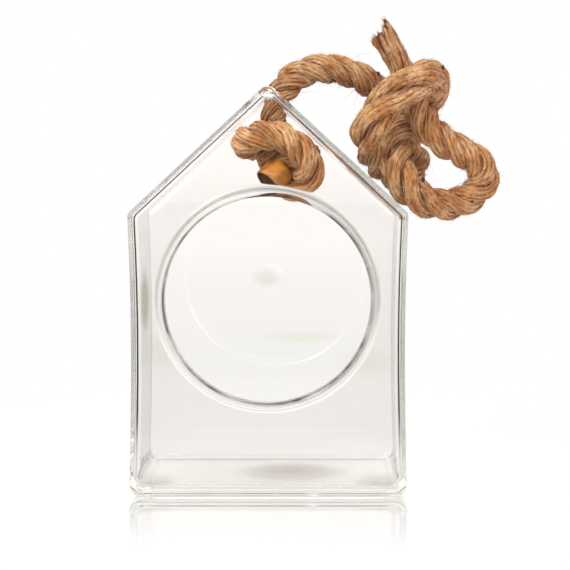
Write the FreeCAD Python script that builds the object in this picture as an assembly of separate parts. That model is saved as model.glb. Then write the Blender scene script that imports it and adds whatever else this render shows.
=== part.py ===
import FreeCAD, Part
import math
import os

# Propagation vase: a mould-blown glass house with a round mouth in its front wall,
# and a thick three-strand rope that runs through a hole in the ridge of the roof.
# Millimetres. X to the right, Y from the front wall to the back wall, Z up.
# The origin is the middle of the flat base.

Vector = FreeCAD.Vector
Y_AXIS = Vector(0, 1, 0)
Z_AXIS = Vector(0, 0, 1)

# House, outside. The ridge and the eaves are given as sharp lines, before rounding.
house_width = 140.0
house_depth = 80.0
eaves_height = 142.0
ridge_height = 207.0
side_bow = 1.6
base_corner_radius = 7.0
eaves_corner_radius = 4.5
ridge_corner_radius = 5.0
rim_radius = 4.0

# House, inside. The glass is a little thicker in the corners and in the floor.
wall_thickness = 2.8
floor_thickness = 5.0
inner_base_radius = 6.0
inner_eaves_radius = 4.0
inner_ridge_radius = 5.0
inner_rim_radius = 3.0

# Mouth in the front wall: a collar drawn forwards, with a fire-polished bead for a lip.
mouth_height = 99.5
mouth_radius = 51.0
lip_thickness = 4.0
lip_root_radius = 2.5
lip_neck_length = 0.5
mouth_inner_rounding = 1.2

# Hole through the ridge for the rope, with a melted edge.
rope_hole_diameter = 22.0
rope_hole_rounding = 0.9

# Ground mark on the back wall, where the glass was held while the mouth was opened.
pontil_diameter = 16.0
pontil_depth = 0.6
pontil_height = 104.0

# Rope.
rope_diameter = 14.0
binding_thickness = 0.6
binding_length = 11.0
binding_setback = 1.2
arc_share = 0.45

# One overrun serves all cuts, one step the measuring of the rope's least gap to itself, and one
# small distance the search for edges on a line or circle.
cut_overrun = 5.0
gap_step = 1.5
on_line = 0.01

# Route of the rope outside the house, from inside the ridge hole upwards: over in an arch,
# down behind the knot, round and up as the knot's collar, down as the near leg of the
# hanging loop, round the loop, up its far leg and out at the top as the tail.
HANGER_ROUTE = [
    Vector(2.4, 0, 188), Vector(2.4, 0, 197), Vector(7.5, 0, 206.3), Vector(15.8, 0, 213.8),
    Vector(26, 0.5, 217.3), Vector(37, 2, 216.8), Vector(47, 6, 212), Vector(55.5, 12, 204),
    Vector(62.5, 18, 195), Vector(69.5, 22.5, 185), Vector(76, 22, 175), Vector(78, 17, 165),
    Vector(71, 13, 158.3), Vector(60.5, 9.5, 161.2), Vector(50.5, 2.5, 170.5), Vector(47.5, -8, 178),
    Vector(50.5, -16, 188), Vector(58.5, -18, 198.5), Vector(68.5, -18, 206.5), Vector(79, -14.5, 210.5),
    Vector(87.5, -5.5, 207.5), Vector(89, 4.5, 199), Vector(84, 9.8, 190), Vector(76, 7.5, 183),
    Vector(69, 1.5, 176.5), Vector(66.5, -5, 167), Vector(69, -6, 157), Vector(77, -3.5, 149.8),
    Vector(88, 0, 146.3), Vector(99, 1.5, 146.5), Vector(109, 1.5, 151), Vector(113, 1, 160),
    Vector(108.5, -1, 169), Vector(100, -4, 174.5), Vector(90.5, -7.5, 179.5), Vector(82, -8.5, 186.5),
    Vector(75, -3.5, 195.5), Vector(70.5, 1, 204.5), Vector(67, 2, 214.5), Vector(62.5, 1, 225),
    Vector(57.7, 0, 235.4),
]

# Route of the rope inside the house, from the same place downwards: an overhand knot,
# whose short end comes out at the front and points down to the left.
STOPPER_ROUTE = [
    Vector(2.4, 0, 188), Vector(2.4, 0, 181), Vector(1.5, 5.7, 174.2), Vector(0.6, 11, 167.5),
    Vector(2.6, 11, 159.5), Vector(7.5, 5, 153.6), Vector(13.8, -4, 152.2), Vector(20, -12.7, 157.3),
    Vector(21.3, -17.5, 166), Vector(17.5, -19, 174.5), Vector(9.5, -17.5, 180.3), Vector(0.5, -16, 182),
    Vector(-8.5, -11.5, 181.2), Vector(-13.2, -1.5, 179.5), Vector(-13.2, 8.5, 178.2), Vector(-8.5, 19, 177),
    Vector(0.5, 25.3, 175.3), Vector(11, 25, 174), Vector(19.5, 18, 173), Vector(21.5, 9, 171.3),
    Vector(16.3, 0, 169), Vector(6.4, -7.6, 166.5), Vector(-3, -13, 158.6),
]

# Each stretch of the rope is a node. A stretch ends in the middle of the run that starts
# at the point with this number, or at the end of the route.
NECK_END = 2
ARCH_END = 7
COLLAR_END = 23
LOOP_END = 35


def gable_face(half_width, floor_z, eaves_z, ridge_z, bow, y):
    """Five-sided outline of the house in a plane across Y, its sides bowed inwards."""
    middle_z = (floor_z + eaves_z) / 2
    base_left = Vector(-half_width, y, floor_z)
    base_right = Vector(half_width, y, floor_z)
    eaves_left = Vector(-half_width, y, eaves_z)
    eaves_right = Vector(half_width, y, eaves_z)
    ridge = Vector(0, y, ridge_z)
    waist_left = Vector(-half_width + bow, y, middle_z)
    waist_right = Vector(half_width - bow, y, middle_z)
    edges = [
        Part.LineSegment(base_left, base_right).toShape(),
        Part.Arc(base_right, waist_right, eaves_right).toShape(),
        Part.LineSegment(eaves_right, ridge).toShape(),
        Part.LineSegment(ridge, eaves_left).toShape(),
        Part.Arc(eaves_left, waist_left, base_left).toShape(),
    ]
    return Part.Face(Part.Wire(edges))


def edges_along_depth(solid, z):
    """Edges of the house that run from front to back at the height z."""
    found = []
    for edge in solid.Edges:
        box = edge.BoundBox
        level = abs(box.ZMin - z) < on_line and abs(box.ZMax - z) < on_line
        if level and box.XLength < on_line and box.YLength > on_line:
            found.append(edge)
    return found


def edges_in_plane(solid, y):
    """Edges that lie wholly in the plane of a gable."""
    return [edge for edge in solid.Edges
            if abs(edge.BoundBox.YMin - y) < on_line and abs(edge.BoundBox.YMax - y) < on_line]


def house_block(half_width, floor_z, eaves_z, ridge_z, half_depth, radii):
    """Closed house-shaped block with rounded corners and rims."""
    base_radius, eaves_radius, ridge_radius, edge_radius = radii
    face = gable_face(half_width, floor_z, eaves_z, ridge_z, side_bow, -half_depth)
    block = face.extrude(Y_AXIS * (2 * half_depth))
    for radius, z in ((base_radius, floor_z), (eaves_radius, eaves_z), (ridge_radius, ridge_z)):
        block = block.makeFillet(radius, edges_along_depth(block, z))
    rims = edges_in_plane(block, -half_depth) + edges_in_plane(block, half_depth)
    return block.makeFillet(edge_radius, rims)


def revolve_about_mouth(edges):
    """Ring turned about the mouth's axis from a profile drawn in the plane above that axis."""
    profile = Part.Face(Part.Wire(edges))
    return profile.revolve(Vector(0, 0, mouth_height), Y_AXIS, 360)


def mouth_ring(front_y):
    """Ring of the front wall round the mouth: collar, bead and rounded inner edge."""
    bead_radius = lip_thickness / 2
    collar_radius = mouth_radius + lip_thickness
    root_outer = collar_radius + lip_root_radius
    wall_y = front_y + wall_thickness
    root_y = front_y - lip_root_radius
    bead_y = root_y - lip_neck_length
    slant = math.sqrt(0.5)

    def at(radius, y):
        return Vector(0, y, mouth_height + radius)

    root_middle = at(root_outer - lip_root_radius * slant, root_y + lip_root_radius * slant)
    inner_middle = at(mouth_radius + mouth_inner_rounding * (1 - slant),
                      wall_y - mouth_inner_rounding * (1 - slant))
    edges = [
        Part.Arc(at(root_outer, front_y), root_middle, at(collar_radius, root_y)).toShape(),
        Part.LineSegment(at(collar_radius, root_y), at(collar_radius, bead_y)).toShape(),
        Part.Arc(at(collar_radius, bead_y), at(mouth_radius + bead_radius, bead_y - bead_radius),
                 at(mouth_radius, bead_y)).toShape(),
        Part.LineSegment(at(mouth_radius, bead_y),
                         at(mouth_radius, wall_y - mouth_inner_rounding)).toShape(),
        Part.Arc(at(mouth_radius, wall_y - mouth_inner_rounding), inner_middle,
                 at(mouth_radius + mouth_inner_rounding, wall_y)).toShape(),
        Part.LineSegment(at(mouth_radius + mouth_inner_rounding, wall_y),
                         at(root_outer, wall_y)).toShape(),
        Part.LineSegment(at(root_outer, wall_y), at(root_outer, front_y)).toShape(),
    ]
    return revolve_about_mouth(edges), root_outer


def hole_edges(solid):
    """Edges where the rope's hole meets the outside and the inside of the roof."""
    found = []
    for edge in solid.Edges:
        middle = edge.valueAt((edge.FirstParameter + edge.LastParameter) / 2)
        points = [vertex.Point for vertex in edge.Vertexes] + [middle]
        reach = [math.hypot(point.x, point.y) for point in points]
        if all(abs(value - rope_hole_diameter / 2) < on_line for value in reach):
            if abs(edge.BoundBox.XLength) + abs(edge.BoundBox.YLength) > rope_hole_rounding:
                found.append(edge)
    return found


def glass_house():
    """Blown glass house: one piece, hollow, with its mouth, rope hole and ground mark."""
    half_width = house_width / 2
    half_depth = house_depth / 2
    slope = (ridge_height - eaves_height) / half_width
    roof_drop = wall_thickness * math.hypot(1, slope)
    inner_half_width = half_width - wall_thickness
    inner_ridge = ridge_height - roof_drop
    inner_eaves = inner_ridge - slope * inner_half_width

    outside = house_block(half_width, 0, eaves_height, ridge_height, half_depth,
                          (base_corner_radius, eaves_corner_radius, ridge_corner_radius, rim_radius))
    inside = house_block(inner_half_width, floor_thickness, inner_eaves, inner_ridge,
                         half_depth - wall_thickness,
                         (inner_base_radius, inner_eaves_radius, inner_ridge_radius, inner_rim_radius))
    glass = outside.cut(inside)

    ring, root_outer = mouth_ring(-half_depth)
    disc = Part.makeCylinder(root_outer, wall_thickness + cut_overrun,
                             Vector(0, -half_depth - cut_overrun, mouth_height), Y_AXIS)
    glass = glass.cut(disc).fuse(ring).removeSplitter()

    hole_foot = Vector(0, 0, inner_ridge - slope * rope_hole_diameter)
    hole = Part.makeCylinder(rope_hole_diameter / 2, slope * rope_hole_diameter + roof_drop + cut_overrun,
                             hole_foot, Z_AXIS)
    glass = glass.cut(hole)
    glass = glass.makeFillet(rope_hole_rounding, hole_edges(glass))

    mark_reach = (pontil_diameter / 2) ** 2 + pontil_depth ** 2
    mark_radius = mark_reach / (2 * pontil_depth)
    mark = Part.makeSphere(mark_radius, Vector(0, half_depth + mark_radius - pontil_depth, pontil_height))
    return glass.cut(mark)


def round_point(before, point, after):
    """Tangent arc at a point of a route: its start, middle, end and radius."""
    back = before - point
    ahead = after - point
    reach = arc_share * min(back.Length, ahead.Length)
    turn = math.pi - back.getAngle(ahead)
    radius = reach / math.tan(turn / 2)
    back.normalize()
    ahead.normalize()
    inward = back + ahead
    inward.normalize()
    start = point + back * reach
    end = point + ahead * reach
    middle = point + inward * (radius / math.cos(turn / 2) - radius)
    return start, middle, end, radius


def rope_path(route, first, last):
    """Edges of the path from the middle of run `first` to the middle of run `last`.

    Run 0 starts at the route's first point. `first` of None starts at the route's own start,
    and `last` of None stops at its far end.
    """
    here = route[0] if first is None else (route[first] + route[first + 1]) * 0.5
    finish = route[-1] if last is None else (route[last] + route[last + 1]) * 0.5
    corners = range(1 if first is None else first + 1, len(route) - 1 if last is None else last + 1)
    edges = []
    for index in corners:
        start, middle, end, radius = round_point(route[index - 1], route[index], route[index + 1])
        edges.append(Part.LineSegment(here, start).toShape())
        edges.append(Part.Arc(start, middle, end).toShape())
        here = end
    edges.append(Part.LineSegment(here, finish).toShape())
    return edges


def end_of_path(path, length, setback):
    """The last part of a path: `length` long, and ending `setback` before the path does."""
    low, high = setback, setback + length
    kept = []
    passed = 0.0
    for edge in reversed(path):
        near = max(low - passed, 0.0)
        far = min(high - passed, edge.Length)
        if far > near:
            begin = edge.getParameterByLength(edge.Length - far)
            finish = edge.getParameterByLength(edge.Length - near)
            kept.insert(0, edge.Curve.toShape(begin, finish))
        passed += edge.Length
    return kept


def tube(path, diameter):
    """Round tube swept along a path of straight runs and tangent arcs."""
    start = path[0].valueAt(path[0].FirstParameter)
    direction = path[0].tangentAt(path[0].FirstParameter)
    circle = Part.Wire(Part.makeCircle(diameter / 2, start, direction))
    spine = Part.Wire(path)
    return spine.makePipeShell([circle], True, False)


def path_points(path):
    """Points along a path, with how far along it each one lies."""
    points = []
    run = 0.0
    for edge in path:
        count = max(2, int(edge.Length / gap_step) + 1)
        for place in edge.discretize(count)[:-1]:
            if points:
                run += (place - points[-1][0]).Length
            points.append((place, run))
    return points


def least_gap(path, diameter):
    """Least gap between the tube and another part of itself."""
    points = path_points(path)
    apart = math.pi * diameter / 2
    gaps = [(one - two).Length - diameter
            for index, (one, run_one) in enumerate(points)
            for two, run_two in points[index + 1:] if run_two - run_one > apart]
    return min(gaps)


def report_route(name, route):
    """Print a route's arc radii, its length and the tube's least gap to itself."""
    radii = [round_point(route[i - 1], route[i], route[i + 1])[3] for i in range(1, len(route) - 1)]
    path = rope_path(route, None, None)
    length = sum(edge.Length for edge in path)
    print(name, "arc radii", [round(radius, 1) for radius in radii])
    print(name, "length", round(length, 1), "least gap to itself", round(least_gap(path, rope_diameter), 2))


def rope_stretch(name, route, first, last):
    """Node of one stretch of the rope. Its volume is compared with its section times its length."""
    path = rope_path(route, first, last)
    solid = tube(path, rope_diameter)
    expected = math.pi * rope_diameter ** 2 / 4 * sum(edge.Length for edge in path)
    print(name, "volume over section times length", round(solid.Volume / expected, 4))
    return solid


def rope_nodes():
    """All stretches of the rope, each with its node's name."""
    stretches = [
        ("rope_neck", HANGER_ROUTE, None, NECK_END),
        ("rope_arch", HANGER_ROUTE, NECK_END, ARCH_END),
        ("rope_knot_collar", HANGER_ROUTE, ARCH_END, COLLAR_END),
        ("rope_hanging_loop", HANGER_ROUTE, COLLAR_END, LOOP_END),
        ("rope_tail", HANGER_ROUTE, LOOP_END, None),
        ("rope_stopper_knot", STOPPER_ROUTE, None, None),
    ]
    return {name: rope_stretch(name, route, first, last) for name, route, first, last in stretches}


def end_binding():
    """Thin sleeve bound round the short end of the stopper knot, set back from the cut."""
    path = rope_path(STOPPER_ROUTE, None, None)
    wound = end_of_path(path, binding_length, binding_setback)
    bore = end_of_path(path, binding_length + binding_setback, 0.0)
    sleeve = tube(wound, rope_diameter + 2 * binding_thickness)
    return sleeve.cut(tube(bore, rope_diameter))


def main():
    """Build every node and write each one to its own file."""
    os.makedirs("parts", exist_ok=True)
    report_route("hanger", HANGER_ROUTE)
    report_route("stopper", STOPPER_ROUTE)
    nodes = {"glass_house": glass_house(), "rope_end_binding": end_binding()}
    nodes.update(rope_nodes())
    for name, shape in nodes.items():
        solid = shape.Solids[0]
        print(name, "valid", solid.isValid(), "solids", len(solid.Solids), "volume", round(solid.Volume, 1))
        solid.exportStep("parts/" + name + ".step")


main()
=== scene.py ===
"""Looks of a propagation vase: a mould-blown glass house with a knotted rope through its ridge.

Metres, Z up, -Y out of the round mouth. The origin is the middle of the flat base.
"""

import bisect
import functools
import logging
import math
import random
from collections.abc import Callable
from dataclasses import dataclass
from enum import Enum

import bpy
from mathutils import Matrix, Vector


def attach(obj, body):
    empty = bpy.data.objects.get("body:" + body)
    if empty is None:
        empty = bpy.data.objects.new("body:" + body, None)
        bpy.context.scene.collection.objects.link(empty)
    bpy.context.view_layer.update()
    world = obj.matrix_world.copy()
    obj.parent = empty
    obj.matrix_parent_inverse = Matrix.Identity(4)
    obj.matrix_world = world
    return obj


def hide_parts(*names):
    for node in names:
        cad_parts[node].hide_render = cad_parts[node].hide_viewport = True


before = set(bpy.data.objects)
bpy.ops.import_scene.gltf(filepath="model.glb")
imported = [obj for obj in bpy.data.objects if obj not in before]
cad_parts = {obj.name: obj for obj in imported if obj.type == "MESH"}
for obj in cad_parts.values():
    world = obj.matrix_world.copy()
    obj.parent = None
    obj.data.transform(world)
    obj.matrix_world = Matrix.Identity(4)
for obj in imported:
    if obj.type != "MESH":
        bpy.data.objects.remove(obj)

log = logging.getLogger("propagation_vase")
MM = 0.001
TOWARDS_VIEWER = Vector((0.0, -1.0, 0.0))
WHITE = (1, 1, 1, 1)
# Settings of a colour mix, with the output of its colour, and of a range whose ends run out softly.
MIXED = {"output": 2, "data_type": "RGBA"}
SOFT = {"interpolation_type": "SMOOTHSTEP"}
Piece = bpy.types.Object
Socket = bpy.types.NodeSocket
NodeMaker = Callable[..., Socket | None]
Faces = list[tuple[int, ...]]
Place = tuple[float, float, float]


class Body(Enum):
    """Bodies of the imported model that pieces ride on."""

    ROPE = "rope"


class Pattern(Enum):
    """Texture nodes that a mottled finish can be made of."""

    CLOUDS = "TexNoise"
    CELLS = "TexVoronoi"


class Slot(Enum):
    """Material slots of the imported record."""

    ROPE = "jute_rope"
    BINDING = "end_binding"


def linear(hex_colour: str) -> tuple[float, float, float, float]:
    """Turn an sRGB colour into linear light.

    Args:
        hex_colour: six hex digits, red first.

    Returns:
        Red, green, blue and a full alpha, as a shader socket takes them.
    """
    parts = [int(hex_colour[i:i + 2], 16) / 255 for i in (0, 2, 4)]
    light = [c / 12.92 if c <= 0.04045 else ((c + 0.055) / 1.055) ** 2.4 for c in parts]
    return (*light, 1.0)


def smooth(low: float, high: float, value: float) -> float:
    """Step smoothly from 0 at `low` to 1 at `high`."""
    share = max(0.0, min(1.0, (value - low) / (high - low)))
    return share * share * (3 - 2 * share)


def add_node(tree: bpy.types.NodeTree, kind: str, inputs: dict | list | tuple = (), output: int | str = 0,
             **settings: object) -> Socket | None:
    """Add a shader node with its settings, its constants and its links.

    By number, a MapRange maps 0 from the range 1 to 2 onto the range 3 to 4, and a colour Mix goes from
    6 to 7 by 0 and gives its colour at output 2.

    Args:
        tree: the node tree that gets the node.
        kind: the node's type name after ShaderNode, then a colon and its operation if it has one.
        inputs: constants, or the outputs that feed them, in order or by input name or number.
        output: name or number of the wanted output.
        settings: attributes of the node itself.

    Returns:
        The wanted output, or None for a node that has none.
    """
    kind, _, operation = kind.partition(":")
    if operation:
        settings["operation"] = operation
    node = tree.nodes.new("ShaderNode" + kind)
    for name, value in settings.items():
        setattr(node, name, value)
    for socket, value in inputs.items() if isinstance(inputs, dict) else enumerate(inputs):
        if isinstance(value, Socket):
            tree.links.new(value, node.inputs[socket])
        else:
            node.inputs[socket].default_value = value
    return node.outputs[output] if len(node.outputs) else None


def mirrored_share(node: NodeMaker, depth: Socket, many: float, least: float) -> Socket:
    """Tell rays that glass has mirrored from those that went straight through.

    Args:
        node: adds a node to the tree.
        depth: how often the ray was mirrored.
        many: the number of reflections from which the least share holds.
        least: that share.

    Returns:
        0 without a reflection, 1 after one, and less after more.
    """
    once = node("Math:MINIMUM", [depth, 1.0])
    often = node("MapRange", [depth, 1.0, many, 1.0, least])
    return node("Math:MULTIPLY", [once, often])


def new_material(name: str) -> tuple[bpy.types.Material, NodeMaker]:
    """Make an empty node material.

    Args:
        name: the material's name.

    Returns:
        The material, and add_node bound to its tree.
    """
    material = bpy.data.materials.new(name)
    material.use_nodes = True
    material.node_tree.nodes.clear()
    return material, functools.partial(add_node, material.node_tree)


def dress(piece: Piece, *materials: bpy.types.Material) -> None:
    """Put materials on a piece's slots, in order.

    Args:
        piece: the mesh object.
        materials: one material for each slot.
    """
    piece.data.materials.clear()
    for material in materials:
        piece.data.materials.append(material)


def mesh_piece(name: str, points: list[Vector], faces: Faces) -> Piece:
    """Make a smooth mesh object at the origin.

    Args:
        name: name of the piece.
        points: its vertices, in metres.
        faces: vertex numbers of each face, anticlockwise seen from outside.

    Returns:
        The object, in the scene.
    """
    mesh = bpy.data.meshes.new(name)
    mesh.from_pydata([tuple(point) for point in points], [], faces)
    mesh.polygons.foreach_set("use_smooth", [True] * len(mesh.polygons))
    mesh.update()
    piece = bpy.data.objects.new(name, mesh)
    bpy.context.scene.collection.objects.link(piece)
    return piece


def ring_faces(low: int, high: int, around: int) -> Faces:
    """List the faces between two rings of points.

    Args:
        low: number of the first ring's first point.
        high: number of the second ring's first point.
        around: how many points a ring has.

    Returns:
        The faces, in order round the rings.
    """
    nexts = [(number + 1) % around for number in range(around)]
    return [(low + here, low + after, high + after, high + here) for here, after in enumerate(nexts)]


class FibreTubes:
    """Capped tubes of fibre that become one piece, mapped in millimetres round and along each tube."""

    def __init__(self, radius: float, around: int) -> None:
        """Start without a tube.

        Args:
            radius: radius of a tube, which sets how wide it is on the map.
            around: how many points a ring has.
        """
        self.girth = math.tau * radius / MM
        self.around = around
        self.points: list[Vector] = []
        self.faces: Faces = []
        self.places: list[tuple[float, float]] = []
        self.depths: list[float] = []

    def add_tube(self, number: int, rings: list[list[Vector]], depths: list[float], runs: list[float],
                 cap_runs: tuple[float, float]) -> None:
        """Add one tube.

        Args:
            number: the tube's number, which sets its stripe of the map.
            rings: its rings of points.
            depths: 0 outside to 1 at the rope's heart, for each point; the rope's material paints shade by
                it.
            runs: how far along the rope each ring lies.
            cap_runs: the same for the two caps.
        """
        start = len(self.points)
        self.points.extend(point for ring in rings for point in ring)
        self.depths.extend(depths)
        for row in range(len(rings) - 1):
            low, high = start + row * self.around, start + (row + 1) * self.around
            v0, v1 = runs[row] / MM, runs[row + 1] / MM
            self.faces.extend(ring_faces(low, high, self.around))
            for side in range(self.around):
                u0 = self.girth * (side / self.around + number)
                u1 = self.girth * ((side + 1) / self.around + number)
                self.places.extend(((u0, v0), (u1, v0), (u1, v1), (u0, v1)))
        for row, run in zip((0, len(rings) - 1), cap_runs):
            rim = range(start + row * self.around, start + (row + 1) * self.around)
            self.faces.append(tuple(rim) if row else tuple(reversed(rim)))
            self.places.extend((self.girth * number, run / MM) for _ in rim)

    def add_fibre(self, number: int, points: list[Vector], faces: Faces, run: float) -> None:
        """Add a loose fibre, coloured by one place of a tube.

        Args:
            number: the tube's number.
            points: the fibre's points.
            faces: its faces.
            run: how far along the rope its colour is taken.
        """
        first = len(self.points)
        self.points.extend(points)
        self.depths.extend(0.0 for _ in points)
        for face in faces:
            self.faces.append(tuple(first + corner for corner in face))
            self.places.extend((self.girth * number, run / MM) for _ in face)

    def piece(self, name: str) -> Piece:
        """Make one object of it all.

        Args:
            name: name of the piece.

        Returns:
            The object, with its map and the depth of each point, by which its material paints shade.
        """
        piece = mesh_piece(name, self.points, self.faces)
        layer = piece.data.uv_layers.new(name="strand_mm")
        layer.data.foreach_set("uv", [value for place in self.places for value in place])
        depth = piece.data.attributes.new("depth", "FLOAT", "POINT")
        depth.data.foreach_set("value", self.depths)
        return piece


# From inside the ridge hole upwards: over in an arch, down behind the outer knot, round and up as
# its collar, down as the near leg of the loop, round the loop, up its far leg and out as the tail.
HANGER_ROUTE = [(x * MM, y * MM, z * MM) for x, y, z in (
    (2.4, 0, 188), (2.4, 0, 197), (6.3, 0, 205.3), (14, 0, 213), (24.8, 0.5, 217), (35.8, 2, 216.3),
    (46.5, 6.5, 212.8), (56.2, 12, 207.3), (62.2, 17.5, 198), (64, 21.5, 187), (66.8, 23, 178.5),
    (77, 20.5, 174), (78.5, 15.5, 164.5), (70, 12.5, 159), (61, 8.5, 163), (54, 0, 170),
    (50.7, -9.5, 178), (51.4, -16.5, 186.5), (58.2, -19.5, 196.5), (69, -20, 206), (79.5, -17, 211.5),
    (86.2, -9, 210.5), (85.8, 1.5, 203), (80.5, 8.5, 195.5), (72.5, 9, 188), (66.5, 4, 180.5),
    (64.8, -4.5, 171), (66.5, -9.5, 161.5), (72.2, -8.5, 152.7), (81.5, -6, 146.7), (93, -4, 145),
    (104.5, -2.5, 148.5), (112.5, -1.5, 157), (110.5, -2.5, 166.5), (101.3, -5, 172.5),
    (91.5, -7.5, 177), (83, -7, 184), (78, -3.5, 193.5), (74, 0, 203.5), (70.2, 1.5, 212.8),
    (66.7, 1.5, 221.3), (62, 1, 229.2), (57.6, 0, 235.7),
)]

# From the same place downwards: the stopper knot, whose short end points down to the left.
STOPPER_ROUTE = [(x * MM, y * MM, z * MM) for x, y, z in (
    (2.4, 0, 188), (2.4, 0, 181), (1.5, 5.7, 174.2), (0.6, 11, 167.5), (2.6, 11, 160.2),
    (7.5, 5, 155.8), (13.8, -4, 154.8), (20, -12.7, 158.5), (21.3, -17.5, 166), (16.8, -19, 173.6),
    (9.5, -17.5, 179.8), (0.5, -16, 182), (-8.5, -11.5, 180.5), (-12.6, -1.5, 178), (-12.6, 8.5, 176.8),
    (-8.5, 19, 176.5), (0.5, 25.3, 175.3), (11, 25, 174), (18.7, 18, 171.8), (20.6, 9, 170),
    (16.5, 0, 168.8), (8.2, -7.8, 165.8), (-0.6, -13.5, 157.3),
)]


class RouteLine:
    """Smooth line of a route, with a frame at each of its points that doesn't turn about the line."""

    ORDER = 3
    POINTS_TO_A_PLACE = 10

    def __init__(self, name: str, route: list[Place], reference: Vector) -> None:
        """Read the line from a NURBS curve with the route's points as control points.

        Args:
            name: name of the curve while it exists.
            route: the control points, in metres.
            reference: the side direction at the line's start.
        """
        curve = bpy.data.curves.new(name, "CURVE")
        curve.dimensions = "3D"
        spline = curve.splines.new("NURBS")
        spline.points.add(len(route) - 1)
        for point, place in zip(spline.points, route):
            point.co = (*place, 1.0)
        spline.order_u = self.ORDER
        spline.use_endpoint_u = True
        spline.resolution_u = self.POINTS_TO_A_PLACE
        holder = bpy.data.objects.new(name, curve)
        bpy.context.scene.collection.objects.link(holder)
        bpy.context.view_layer.update()
        line = bpy.data.meshes.new_from_object(holder)
        self.points: list[Vector] = [vertex.co.copy() for vertex in line.vertices]
        bpy.data.meshes.remove(line)
        bpy.data.objects.remove(holder)
        bpy.data.curves.remove(curve)
        self.route = [Vector(place) for place in route]
        self.run: list[float] = [0.0]
        for before, here in zip(self.points, self.points[1:]):
            self.run.append(self.run[-1] + (here - before).length)
        self.length = self.run[-1]
        # Where a change fades out that lasts to the line's end.
        self.beyond = (self.length + 1, self.length + 2)
        last = len(self.points) - 1
        self.tangents = [(self.points[min(i + 1, last)] - self.points[max(i - 1, 0)]).normalized()
                         for i in range(last + 1)]
        side = (reference - self.tangents[0] * reference.dot(self.tangents[0])).normalized()
        self.sides: list[Vector] = [side]
        for before, here in zip(self.tangents, self.tangents[1:]):
            side = before.rotation_difference(here) @ side
            side = (side - here * side.dot(here)).normalized()
            self.sides.append(side)
        self.ups: list[Vector] = [t.cross(s) for t, s in zip(self.tangents, self.sides)]

    def at(self, run: float) -> tuple[Vector, Vector, Vector, Vector]:
        """Place and frame at a distance along the line, straight on past its end.

        Args:
            run: distance from the start, in metres.

        Returns:
            The place, the line's direction, its side and its up.
        """
        index = max(0, bisect.bisect_right(self.run, run) - 1)
        ahead = self.tangents[index] * (run - self.run[index])
        return self.points[index] + ahead, self.tangents[index], self.sides[index], self.ups[index]

    def nearest(self, number: int) -> float:
        """Distance along the line of its point nearest to a control point.

        Args:
            number: the control point's number in the route.

        Returns:
            The distance from the start, in metres.
        """
        place = self.route[number]
        gaps = [(point - place).length for point in self.points]
        return self.run[gaps.index(min(gaps))]


@dataclass(frozen=True)
class Change:
    """A stretch where the rope's shape differs. It sets in, holds and fades out, in metres along it."""

    sets_in: float
    holds: float
    fades: float
    gone: float
    across: float = 1.0
    through: float = 1.0
    turns: float = 1.0
    strand: float = 1.0

    def share(self, run: float) -> float:
        """Share of the change, from 0 to 1, at a distance along the rope."""
        return smooth(self.sets_in, self.holds, run) * (1 - smooth(self.fades, self.gone, run))


@dataclass(frozen=True)
class RopeLay:
    """How the rope is laid up: three strands to the right, each of yarns spun the other way."""

    diameter: float = 14 * MM
    pitch: float = 36 * MM
    strand_offset: float = 4.05 * MM
    strand_radius: float = 3.95 * MM
    strands: int = 3
    yarns: int = 10
    points_to_a_yarn: int = 5
    yarn_turn: float = 95.0
    yarn_relief: float = 0.16
    yarn_swell: float = 0.05
    unevenness: float = 0.07
    waves_to_a_strand: int = 3
    wave_mm: tuple[float, float] = (9, 26)
    yarn_wave_mm: tuple[float, float] = (6, 17)
    yarn_swing: tuple[float, float] = (0.2, 1.0)
    start_evens: float = 12 * MM
    # Painted shade on the strands near the ridge hole: how deep they count, and where it fades out.
    hole_shade_depth: float = 0.3
    hole_shade_reach: tuple[float, float] = (8 * MM, 17 * MM)


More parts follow.
